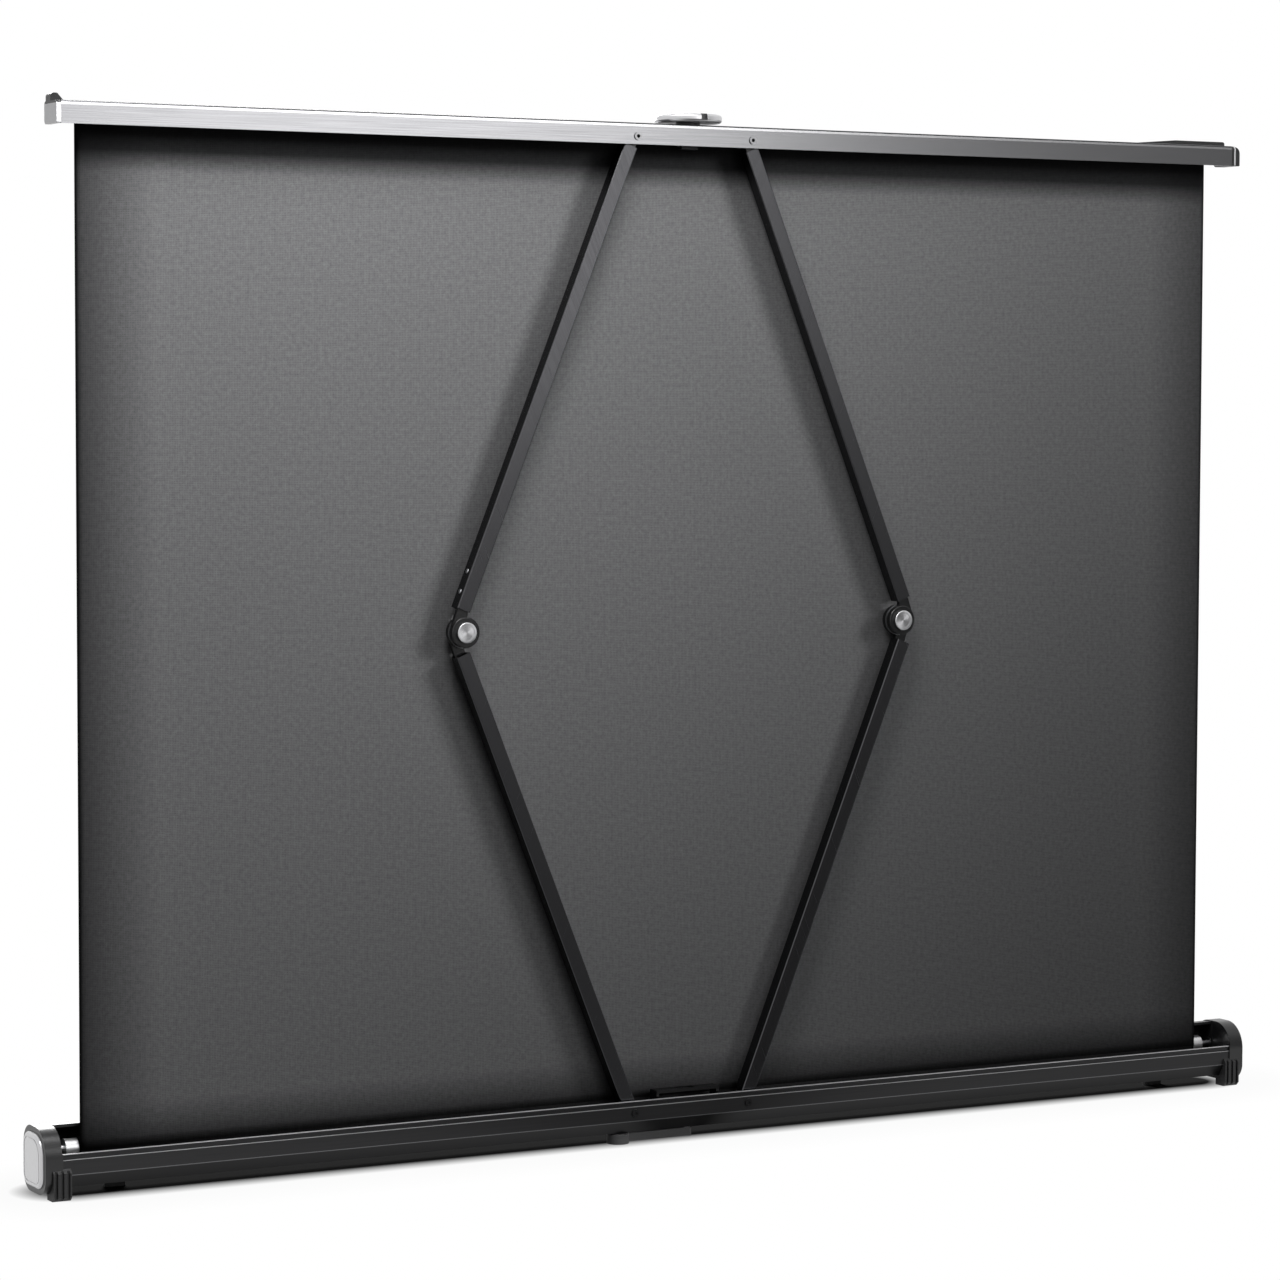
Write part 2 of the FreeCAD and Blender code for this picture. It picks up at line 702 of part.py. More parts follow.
def rail_tab(length, height, rail_end, tab_end):
    """Low ramp on top of the rail's front edge, rising towards tab_end and turned down behind rail_end."""
    start = tab_end - length
    depth = (rail_front_y - rail_cap_round - rail_tab_width, rail_front_y - rail_cap_round)
    return prism_y([
        (start, rail_top, 0),
        (rail_end, rail_top, 0),
        (rail_end, rail_top - rail_cap_round, 0),
        (tab_end, rail_top - rail_cap_round, 0),
        (tab_end, rail_top + height, height / 2),
        (start + length / 2, rail_top + height, length / 8),
    ], depth)


def catch_screw_spots():
    """Places along X of the two screws that hold the catch."""
    reach = catch_half_length + catch_foot / 2
    return (-reach, reach)


def turn_lock():
    """Round knob on the rail, its spindle with the cam below, and the slotted catch on the base's floor."""
    shaft = knob_shaft_diameter / 2
    knob_low = rail_top + knob_lift
    knob_top = knob_low + knob_height
    knob_radius = knob_diameter / 2
    collar = rod_z((rail_top, knob_low - elbow_face_gap), 0, rail_mid_y, knob_collar_diameter / 2)
    save("knob_collar", collar.cut(rod_z((rail_low, knob_top), 0, rail_mid_y, shaft + knob_shaft_clearance)))
    slot_floor = knob_low + knob_lift
    knob = rod_z((knob_low, knob_top), 0, rail_mid_y, knob_radius)
    knob = rounded_rim(knob, knob_edge_round, lambda spot: abs(spot.z - (knob_low + knob_top) / 2) > tiny)
    half_slot = knob_slot_width / 2
    slot_reach = (rail_mid_y - knob_diameter, rail_mid_y + knob_diameter)
    knob = knob.cut(box((-half_slot, half_slot), slot_reach, (slot_floor, knob_top + overrun)))
    knob = knob.cut(rod_z((knob_low - overrun, slot_floor + overrun), 0, rail_mid_y, shaft))
    save("lock_knob", knob)
    grip_half = half_slot - knob_slot_gap
    grip = box((-grip_half, grip_half), slot_reach, (slot_floor, knob_top))
    grip_reach = rod_z((rail_low, knob_top), 0, rail_mid_y, knob_radius - knob_edge_round / 2)
    save("knob_grip", grip.common(grip_reach))
    catch_top = back_edge_height + catch_rise
    catch_under = catch_top - catch_thickness
    cam_top = rail_low + (catch_under - cam_clearance) - (back_edge_height + closing_gap)
    cam = box((-cam_length / 2, cam_length / 2), (rail_mid_y - cam_width / 2, rail_mid_y + cam_width / 2),
              (cam_top - cam_height, cam_top))
    spindle = rod_z((cam_top - cam_height, slot_floor), 0, rail_mid_y, shaft)
    save("lock_cam", cam.fuse(spindle).removeSplitter())
    width = (rail_mid_y - catch_width / 2, rail_mid_y + catch_width / 2)
    outer = catch_half_length
    inner = catch_half_length - catch_thickness
    foot_top = base_inside_z + catch_thickness
    catch = prism_y(sharp([
        (-outer - catch_foot, base_inside_z),
        (-inner, base_inside_z),
        (-inner, catch_under),
        (inner, catch_under),
        (inner, base_inside_z),
        (outer + catch_foot, base_inside_z),
        (outer + catch_foot, foot_top),
        (outer, foot_top),
        (outer, catch_top),
        (-outer, catch_top),
        (-outer, foot_top),
        (-outer - catch_foot, foot_top),
    ]), width)
    slot_x = cam_length / 2 + cam_clearance
    slot_y = cam_width / 2 + cam_clearance
    catch = catch.cut(box((-slot_x, slot_x), (rail_mid_y - slot_y, rail_mid_y + slot_y),
                          (catch_under - overrun, catch_top + overrun)))
    screws = []
    for spot in catch_screw_spots():
        shank = (base_floor_height, foot_top)
        catch = catch.cut(rod_z((base_floor_height, catch_top), spot, rail_mid_y, catch_screw_diameter / 2))
        head = rod_z((foot_top, foot_top + catch_screw_head_height), spot, rail_mid_y,
                     catch_screw_head_diameter / 2)
        screws.append(head.fuse(rod_z(shank, spot, rail_mid_y, catch_screw_diameter / 2)).removeSplitter())
    save("lock_catch", catch)
    save("catch_screws", *screws)


os.makedirs("parts", exist_ok=True)
base_channel()
end_caps()
feet()
swivel_foot()
roller()
screen_sheet()
arms()
pivot_screws()
rail()
turn_lock()
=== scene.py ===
import logging
import math
from dataclasses import dataclass, field
from enum import Enum
from typing import Any

import bpy
import numpy as np
from mathutils import Matrix, Vector


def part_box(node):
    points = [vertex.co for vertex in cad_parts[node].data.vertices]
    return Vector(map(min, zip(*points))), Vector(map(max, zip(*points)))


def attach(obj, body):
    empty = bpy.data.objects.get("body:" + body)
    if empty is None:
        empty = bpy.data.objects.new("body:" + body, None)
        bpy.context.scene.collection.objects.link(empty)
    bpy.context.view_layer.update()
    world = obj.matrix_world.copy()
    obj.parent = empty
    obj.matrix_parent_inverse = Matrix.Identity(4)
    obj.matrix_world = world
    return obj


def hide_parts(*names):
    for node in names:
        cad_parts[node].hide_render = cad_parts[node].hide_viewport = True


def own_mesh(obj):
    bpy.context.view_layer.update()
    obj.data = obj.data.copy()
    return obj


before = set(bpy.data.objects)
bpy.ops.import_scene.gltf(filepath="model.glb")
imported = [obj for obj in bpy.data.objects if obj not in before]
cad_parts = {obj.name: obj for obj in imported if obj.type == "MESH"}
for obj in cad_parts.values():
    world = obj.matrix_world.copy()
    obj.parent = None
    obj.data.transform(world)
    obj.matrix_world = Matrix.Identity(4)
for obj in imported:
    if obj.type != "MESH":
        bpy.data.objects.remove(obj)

logging.basicConfig(level=logging.INFO, format="%(name)s: %(message)s")
LOG = logging.getLogger("projection_screen")

Tree = bpy.types.NodeTree
Socket = bpy.types.NodeSocket
Point = tuple[float, float, float]

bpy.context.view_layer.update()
MM = 0.001
WHITE = (1.0, 1.0, 1.0, 1.0)
# Lean of the open arms above level, in degrees.
ARM_ANGLE = 68.0
# Name of the UV map that lays a cloth out flat.
CLOTH_MAP = "cloth"
# A drawn streak varies this much slower along its length than across it.
STREAK_RATE = 0.012
# The base's bands end here along Y, so that they show on its back wall alone.
BACK_WALL_MM = -12.0


def linear(code: str) -> tuple[float, float, float, float]:
    """Turns an sRGB hex colour into linear light.

    Args:
        code: colour as "#rrggbb".

    Returns:
        Red, green, blue and alpha in linear light.
    """
    shares = np.array([int(code[i:i + 2], 16) for i in (1, 3, 5)]) / 255.0
    light = np.where(shares <= 0.04045, shares / 12.92, ((shares + 0.055) / 1.055) ** 2.4)
    return float(light[0]), float(light[1]), float(light[2]), 1.0


def add_node(tree: Tree, kind: str, inputs: dict[Any, Any] | None = None,
             **settings: Any) -> bpy.types.Node:
    """Adds one node with its settings, its plain values and its links.

    Args:
        tree: node tree that takes the node.
        kind: Blender's name of the node type.
        inputs: socket name or number to a plain value, or to another node's output socket.
        settings: attributes to set on the node itself.

    Returns:
        The new node.
    """
    node = tree.nodes.new(kind)
    for name, value in settings.items():
        setattr(node, name, value)
    for key, value in (inputs or {}).items():
        if isinstance(value, Socket):
            tree.links.new(value, node.inputs[key])
        else:
            node.inputs[key].default_value = value
    return node


class Axis(Enum):
    """Directions of the shared frame."""

    X = 0
    Y = 1
    Z = 2


class Grain(Enum):
    """Kinds of fine surface marks that a finish may carry."""

    WEAVE = "threads that cross at right angles"
    DRAWN = "long streaks along X, after the finish's own turning"
    TURNED = "rings round an axis on a face across it"
    SPUN = "lines round a bar, along its axis"
    MOULDED = "fine pits of a spark-eroded mould"
    CAST = "soft uneven skin"


# Detail and roughness of the noise that draws each grain.
NOISE: dict[Grain, tuple[float, float]] = {
    Grain.WEAVE: (5.0, 0.72),
    Grain.DRAWN: (4.0, 0.62),
    Grain.TURNED: (2.0, 0.5),
    Grain.SPUN: (2.0, 0.5),
    Grain.MOULDED: (2.0, 0.6),
    Grain.CAST: (5.0, 0.6),
}


@dataclass(frozen=True)
class Band:
    """Strip of another colour between two places along an axis.

    Attributes:
        axis: direction that the strip is measured along.
        low_mm: where it starts.
        high_mm: where it ends.
        colour: its colour.
        broken_up: how far the finish's marks break it up, from 0 to 1.
        front_mm: place along Y where it stops towards the projection side.
    """

    axis: Axis
    low_mm: float
    high_mm: float
    colour: str
    broken_up: float = 0.0
    front_mm: float = 1000.0


@dataclass(frozen=True)
class Finish:
    """One surface finish, made into a material by its grain.

    Attributes:
        name: what the surface is made of and how.
        colour: main colour.
        deep: colour in the low places of the grain.
        roughness: middle roughness.
        metallic: 1 for bare metal, 0 for paint, plastic and cloth.
        grain: kind of fine marks.
        pitch_mm: spacing of the marks.
        relief_mm: depth of the marks.
        turn: turning of the marks about Y, in degrees.
        centre: point that rings are centred on, in metres.
        axis: axis that rings go round, or that a bar runs along.
        swing: how far roughness varies either way.
        coat: clear coat weight.
        specular: specular level of a surface that is not metal.
        stretch: how far highlights are drawn out round the axis.
        bands: strips of other colours.
    """

    name: str
    colour: str
    deep: str
    roughness: float
    metallic: float = 0.0
    grain: Grain = Grain.MOULDED
    pitch_mm: float = 0.8
    relief_mm: float = 0.02
    turn: float = 0.0
    centre: Point = (0.0, 0.0, 0.0)
    axis: Axis = Axis.Y
    swing: float = 0.08
    coat: float = 0.0
    specular: float = 0.5
    stretch: float = 0.0
    bands: tuple[Band, ...] = ()

    def place(self, tree: Tree) -> Socket:
        """Gives the point of the surface, moved to the centre and turned to the marks.

        Args:
            tree: node tree of the material.

        Returns:
            The point's socket, in millimetres.
        """
        where = add_node(tree, "ShaderNodeTexCoord")
        moved = add_node(tree, "ShaderNodeVectorMath",
                         {0: where.outputs["Object"], 1: self.centre}, operation="SUBTRACT")
        turned = add_node(tree, "ShaderNodeMapping",
                          {"Vector": moved.outputs[0], "Scale": (1.0 / MM,) * 3,
                           "Rotation": (0.0, math.radians(self.turn), 0.0)})
        return turned.outputs[0]

    def marks(self, tree: Tree) -> Socket:
        """Adds the nodes of the grain.

        Args:
            tree: node tree of the material.

        Returns:
            A socket from 0 in the low places of the marks to 1 on the high ones.
        """
        point = self.place(tree)
        rate = 1.0 / self.pitch_mm
        detail, roughness = NOISE[self.grain]
        fineness = {"Detail": detail, "Roughness": roughness}
        if self.grain is Grain.DRAWN:
            squeezed = add_node(tree, "ShaderNodeMapping",
                                {"Vector": point, "Scale": (rate * STREAK_RATE, rate, rate)})
            return add_node(tree, "ShaderNodeTexNoise",
                            {"Vector": squeezed.outputs[0], "Scale": 1.0,
                             **fineness}).outputs["Fac"]
        if self.grain in (Grain.TURNED, Grain.SPUN):
            along = [float(self.axis is axis) for axis in Axis]
            kept = along if self.grain is Grain.SPUN else [1.0 - share for share in along]
            part = add_node(tree, "ShaderNodeVectorMath", {0: point, 1: kept}, operation="MULTIPLY")
            far = add_node(tree, "ShaderNodeVectorMath", {0: part.outputs[0]}, operation="LENGTH")
            ring = add_node(tree, "ShaderNodeMath", {0: far.outputs["Value"], 1: rate},
                            operation="MULTIPLY")
            return add_node(tree, "ShaderNodeTexNoise",
                            {"W": ring.outputs[0], "Scale": 1.0, **fineness},
                            noise_dimensions="1D").outputs["Fac"]
        return add_node(tree, "ShaderNodeTexNoise",
                        {"Vector": point, "Scale": rate, **fineness}).outputs["Fac"]

    def tint(self, tree: Tree, marks: Socket) -> Socket:
        """Mixes the deep and the main colour by the marks, then lays the bands over them.

        Args:
            tree: node tree of the material.
            marks: height of the marks, from 0 to 1.

        Returns:
            The colour's socket.
        """
        colour = add_node(tree, "ShaderNodeMix",
                          {0: marks, 6: linear(self.deep), 7: linear(self.colour)},
                          data_type="RGBA").outputs[2]
        where = add_node(tree, "ShaderNodeTexCoord")
        parts = add_node(tree, "ShaderNodeSeparateXYZ", {0: where.outputs["Object"]})
        for band in self.bands:
            inside = add_node(tree, "ShaderNodeMath",
                              {0: parts.outputs[band.axis.value],
                               1: (band.low_mm + band.high_mm) / 2 * MM,
                               2: (band.high_mm - band.low_mm) / 2 * MM}, operation="COMPARE")
            left = add_node(tree, "ShaderNodeMapRange", {0: marks, 3: 1.0 - band.broken_up, 4: 1.0})
            behind = add_node(tree, "ShaderNodeMath",
                              {0: parts.outputs[Axis.Y.value], 1: band.front_mm * MM},
                              operation="LESS_THAN")
            there = add_node(tree, "ShaderNodeMath", {0: inside.outputs[0], 1: behind.outputs[0]},
                             operation="MULTIPLY")
            share = add_node(tree, "ShaderNodeMath", {0: there.outputs[0], 1: left.outputs[0]},
                             operation="MULTIPLY")
            colour = add_node(tree, "ShaderNodeMix",
                              {0: share.outputs[0], 6: colour, 7: linear(band.colour)},
                              data_type="RGBA").outputs[2]
        return colour

    def material(self) -> bpy.types.Material:
        """Makes the material, or gives the one already made under this name.

        Returns:
            The material.
        """
        made = bpy.data.materials.get(self.name)
        if made is not None:
            return made
        made = bpy.data.materials.new(self.name)
        made.use_nodes = True
        tree = made.node_tree
        shader = tree.nodes["Principled BSDF"]
        marks = self.marks(tree)
        tree.links.new(self.tint(tree, marks), shader.inputs["Base Color"])
        rough = add_node(tree, "ShaderNodeMapRange",
                         {0: marks, 3: self.roughness + self.swing, 4: self.roughness - self.swing})
        tree.links.new(rough.outputs[0], shader.inputs["Roughness"])
        bump = add_node(tree, "ShaderNodeBump",
                        {"Height": marks, "Strength": 1.0, "Distance": self.relief_mm * MM})
        tree.links.new(bump.outputs[0], shader.inputs["Normal"])
        shader.inputs["Metallic"].default_value = self.metallic
        shader.inputs["Specular IOR Level"].default_value = self.specular
        shader.inputs["Coat Weight"].default_value = self.coat
        if self.stretch:
            shader.inputs["Anisotropic"].default_value = self.stretch
            round_axis = add_node(tree, "ShaderNodeTangent", direction_type="RADIAL",
                                  axis=self.axis.name)
            tree.links.new(round_axis.outputs[0], shader.inputs["Tangent"])
        return made


@dataclass(frozen=True)
class HemAndShade:
    """Darker strip along one edge of a cloth. Some are real borders and some are painted shade.

    Attributes:
        axis: Axis.X for the side edges, Axis.Y for the low and top edges.
        at_end: True for the right or top edge.
        solid_mm: width of full colour at the edge.
        soft_mm: width over which it fades out beyond that.
        share: strength of the colour.
    """

    axis: Axis
    at_end: bool
    solid_mm: float
    soft_mm: float
    share: float


@dataclass(frozen=True)
class WovenCloth(Finish):
    """Coated polyester cloth, with threads laid out on the piece's own UV map.

    Attributes:
        size_mm: width and height of the sheet.
        hem_and_shade_colour: colour of the borders and of the painted shade along the edges.
        hems_and_shade: strips along the edges, real borders and painted shade.
        waver: how far the threads stray from straight.
        slub_rate: slubs per thread.
        slub_share: share of the slubs in the marks, the rest being threads.
    """

    size_mm: tuple[float, float] = (855.0, 646.0)
    hem_and_shade_colour: str = "#0b0b0c"
    hems_and_shade: tuple[HemAndShade, ...] = ()
    waver: float = 2.0
    slub_rate: float = 0.35
    slub_share: float = 0.7

    def place(self, tree: Tree) -> Socket:
        """Gives the point of the sheet, measured from its low left corner.

        Args:
            tree: node tree of the material.

        Returns:
            The point's socket, in millimetres.
        """
        where = add_node(tree, "ShaderNodeUVMap", uv_map=CLOTH_MAP)
        return add_node(tree, "ShaderNodeMapping",
                        {"Vector": where.outputs[0], "Scale": (*self.size_mm, 1.0)}).outputs[0]

    def marks(self, tree: Tree) -> Socket:
        """Adds warp and weft waves, of which the higher shows, and slubs that thin or thicken it.

        Args:
            tree: node tree of the material.

        Returns:
            A socket from 0 between the threads to 1 on them.
        """
        point = self.place(tree)
        rate = 1.0 / self.pitch_mm
        detail, roughness = NOISE[self.grain]
        # The wave texture's own period is pi / 10, so this scale gives one thread per pitch.
        scale = rate * math.pi / 10.0
        threads = [add_node(tree, "ShaderNodeTexWave",
                            {"Vector": point, "Scale": scale, "Distortion": self.waver,
                             "Detail": 1.0}, bands_direction=axis.name).outputs["Fac"]
                   for axis in (Axis.X, Axis.Y)]
        top = add_node(tree, "ShaderNodeMath", {0: threads[0], 1: threads[1]}, operation="MAXIMUM")
        slub = add_node(tree, "ShaderNodeTexNoise",
                        {"Vector": point, "Scale": rate * self.slub_rate, "Detail": detail,
                         "Roughness": roughness})
        return add_node(tree, "ShaderNodeMix", {0: self.slub_share, 2: top.outputs[0],
                                                3: slub.outputs["Fac"]}).outputs[0]

    def tint(self, tree: Tree, marks: Socket) -> Socket:
        """Mixes each edge strip into the thread colour by its distance from the edge; the strips
        are real borders and painted shade.

        Args:
            tree: node tree of the material.
            marks: height of the marks, from 0 to 1.

        Returns:
            The colour's socket.
        """
        colour = super().tint(tree, marks)
        parts = add_node(tree, "ShaderNodeSeparateXYZ", {0: self.place(tree)})
        for edge_strip in self.hems_and_shade:
            edge, inner = edge_strip.solid_mm, edge_strip.soft_mm
            if edge_strip.at_end:
                edge, inner = self.size_mm[edge_strip.axis.value] - edge, -inner
            share = add_node(tree, "ShaderNodeMapRange",
                             {0: parts.outputs[edge_strip.axis.value], 1: edge, 2: edge + inner,
                              3: edge_strip.share, 4: 0.0})
            colour = add_node(tree, "ShaderNodeMix",
                              {0: share.outputs[0], 6: colour, 7: linear(self.hem_and_shade_colour)},
                              data_type="RGBA").outputs[2]
        return colour


def grid_faces(rows: int, columns: int, start: int = 0, wrap: bool = False,
               flip: bool = False) -> np.ndarray:
    """Lists the four-sided faces of a grid of points stored row by row.

    Args:
        rows: number of rows of points.
        columns: number of points in a row.
        start: number of the grid's first point.
        wrap: True where the last column joins the first.
        flip: True to turn the faces round.

    Returns:
        An array of four point numbers per face.
    """
    row, column = np.meshgrid(np.arange(rows - 1), np.arange(columns if wrap else columns - 1),
                              indexing="ij")
    after = (column + 1) % columns
    faces = np.stack([row * columns + column, row * columns + after, (row + 1) * columns + after,
                      (row + 1) * columns + column], axis=-1).reshape(-1, 4) + start
    return faces[:, ::-1] if flip else faces


def new_piece(name: str, points: np.ndarray, faces: list[np.ndarray]) -> bpy.types.Object:
    """Puts points and faces into a new, smoothly shaded mesh object at the origin.

    Args:
        name: name of the piece.
        points: one row of three metres per point.
        faces: arrays of point numbers, one row per face.

    Returns:
        The new object.
    """
    mesh = bpy.data.meshes.new(name)
    mesh.from_pydata(points.reshape(-1, 3).tolist(), [],
                     [face.tolist() for group in faces for face in group])
    mesh.polygons.foreach_set("use_smooth", np.full(len(mesh.polygons), True))
    mesh.update()
    piece = bpy.data.objects.new(name, mesh)
    bpy.context.scene.collection.objects.link(piece)
    return piece


def lay_flat(mesh: bpy.types.Mesh, shares: np.ndarray) -> None:
    """Gives a cloth its UV map.

    Args:
        mesh: mesh of the cloth.
        shares: one row per point with its share of the sheet's width and of its height.
    """
    corner = np.empty(len(mesh.loops), dtype=np.int32)
    mesh.loops.foreach_get("vertex_index", corner)
    flat = mesh.uv_layers.new(name=CLOTH_MAP)
    flat.data.foreach_set("uv", shares[corner].astype(np.float32).ravel())


def edge_hems(axis: Axis, solid_mm: float, soft_mm: float, share: float) -> tuple[HemAndShade, ...]:
    """Gives the same border strip on both edges across an axis."""
    return tuple(HemAndShade(axis, at_end, solid_mm, soft_mm, share) for at_end in (False, True))


# Die lines, brush lines, rings and pits are drawn a few times coarser than real ones, so that they
# show in a picture of the whole screen.

# Charcoal side of the coated cloth: matt plain weave, with a thin dark line at the side edges, a
# painted shadow of the rail under the rail, painted shade down both sides, stronger on the left,
# and painted shade along the bottom above the base. The threads are about 0.4 mm apart on real
# cloth and are drawn coarser so that they show.
CLOTH_BACK = WovenCloth("coated_polyester_charcoal", "#7c7c7d", "#28282a", 0.84,
                        grain=Grain.WEAVE, pitch_mm=1.1, relief_mm=0.03, swing=0.05, specular=0.04,
                        # Painted shade, darker towards the left and right edges, more on the left.
                        hems_and_shade=(HemAndShade(Axis.X, False, 0.0, 54.0, 0.74),
                              HemAndShade(Axis.X, True, 0.0, 48.0, 0.52),
                              *edge_hems(Axis.X, 1.2, 1.0, 0.75),
                              # Painted shadow of the rail along the top, over its real shadow, and
                              # painted shade along the bottom above the base.
                              HemAndShade(Axis.Y, True, 26.0, 14.0, 0.86),
                              HemAndShade(Axis.Y, False, 4.0, 24.0, 0.7)))
# Projection side: matt white coating with a black border, nearly no gloss, and the same threads.
CLOTH_FRONT = WovenCloth("coated_polyester_white", "#ececea", "#e3e3e0", 0.9,
                         grain=Grain.WEAVE, pitch_mm=1.1, relief_mm=0.02, swing=0.04, specular=0.2,
                         hems_and_shade=(*edge_hems(Axis.X, 20.0, 0.2, 1.0),
                               *edge_hems(Axis.Y, 20.0, 0.2, 1.0)))
# Black anodised extrusion: satin with long die lines. On the back wall the slope up to the ridge is
# darker, painted shade, and the ridge, the groove's lip and the top lip carry grey lines of painted
# highlight.
BASE_BLACK = Finish("anodised_black_extrusion", "#323233", "#242425", 0.38, metallic=0.6,
                    grain=Grain.DRAWN, pitch_mm=0.9, relief_mm=0.012, swing=0.1,
                    # Painted shade on the slope, then painted highlights on the ridge, the groove's
                    # lip and the top lip.
                    bands=(Band(Axis.Z, 0.0, 15.3, "#1b1b1c", 0.2, BACK_WALL_MM),
                           Band(Axis.Z, 15.3, 15.9, "#6c6c6e", 0.3, BACK_WALL_MM),
                           Band(Axis.Z, 25.0, 25.5, "#b4b4b6", 0.3, BACK_WALL_MM),
                           Band(Axis.Z, 28.6, 29.2, "#dcdcde", 0.3, BACK_WALL_MM)))
# Black anodised square tube: satin, with die lines along each bar.
ARM_BLACK_RISING, ARM_BLACK_FALLING = (
    Finish(name, "#565658", "#414143", 0.24, metallic=1.0, grain=Grain.DRAWN, pitch_mm=0.8,
           relief_mm=0.015, turn=turn, swing=0.1)
    for name, turn in (("anodised_black_tube_rising", -ARM_ANGLE),
                       ("anodised_black_tube_falling", ARM_ANGLE)))
# Moulded ABS: near black with a fine spark-eroded texture and a soft sheen.
ABS_BLACK = Finish("moulded_abs_black", "#1e1e1f", "#141415", 0.3, grain=Grain.MOULDED,
                   pitch_mm=0.6, relief_mm=0.03, swing=0.06)
# Silver painted ABS of the end inlays: smooth, metal flake under a clear coat.
ABS_SILVER = Finish("painted_abs_silver", "#d8d8da", "#cececf", 0.3, metallic=0.7,
                    grain=Grain.CAST, pitch_mm=3.0, relief_mm=0.004, swing=0.04, coat=0.6)
# Die-cast zinc under gloss black paint: soft uneven skin.
CAST_BLACK = Finish("painted_zinc_casting_black", "#121213", "#0b0b0c", 0.22, grain=Grain.CAST,
                    pitch_mm=1.6, relief_mm=0.02)
# Black oxide hardware: dark, oily sheen.
OXIDE_BLACK = Finish("black_oxide_steel", "#2a2a2b", "#1c1c1d", 0.36, metallic=0.6,
                     grain=Grain.CAST, pitch_mm=0.8, relief_mm=0.01)
# Zinc plated steel of rivets and hidden hardware: pale grey, slightly clouded.
ZINC_STEEL = Finish("zinc_plated_steel", "#b4b5b8", "#9fa0a3", 0.34, metallic=1.0,
                    grain=Grain.CAST, pitch_mm=1.2, relief_mm=0.008)
# Drawn aluminium of the roller: bright, with polishing lines round it.
ROLLER_DRAWN = Finish("polished_aluminium_tube", "#f0f0f1", "#dedee0", 0.32, metallic=0.7,
                      grain=Grain.SPUN, pitch_mm=0.9, relief_mm=0.012, axis=Axis.X)
# Nitrile rubber of the feet and pads: matt and nearly black.
RUBBER = Finish("moulded_nitrile_rubber", "#1a1a1b", "#121213", 0.6, grain=Grain.MOULDED,
                pitch_mm=0.9, relief_mm=0.04)
# Powder coat on the swivel foot: dark grey with a fine orange peel.
POWDER_GREY = Finish("powder_coated_steel_grey", "#505051", "#444445", 0.5, grain=Grain.CAST,
                     pitch_mm=1.0, relief_mm=0.02, swing=0.06)


def turned_finish(name: str, centre: Vector, axis: Axis) -> Finish:
    """Gives turned bright aluminium with its rings round an axis through a point.

    Args:
        name: name of the material.
        centre: point in metres that the rings go round.
        axis: direction that the piece was turned about.

    Returns:
        The finish.
    """
    # Lathe-turned aluminium: fine rings fan the highlight out into a bow tie across the face.
    return Finish(name, "#dededf", "#b6b6b9", 0.3, metallic=1.0, grain=Grain.TURNED, pitch_mm=0.5,
                  relief_mm=0.015, centre=tuple(centre), axis=axis, stretch=0.75)


def middle(name: str) -> Vector:
    """Gives the middle of a node's box, in metres."""
    low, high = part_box(name)
    return (low + high) / 2


def both(stem: str) -> tuple[str, str]:
    """Names the left and right nodes of a pair."""
    return stem + "_left", stem + "_right"


def dress(finish: Finish, *names: str) -> None:
    """Gives CAD nodes a finish.

    Args:
        finish: finish to put on.
        names: names of the nodes.
    """
    made = finish.material()
    for name in names:
        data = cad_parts[name].data
        data.materials.clear()
        data.materials.append(made)
        LOG.info("%s in %s", name, finish.name)


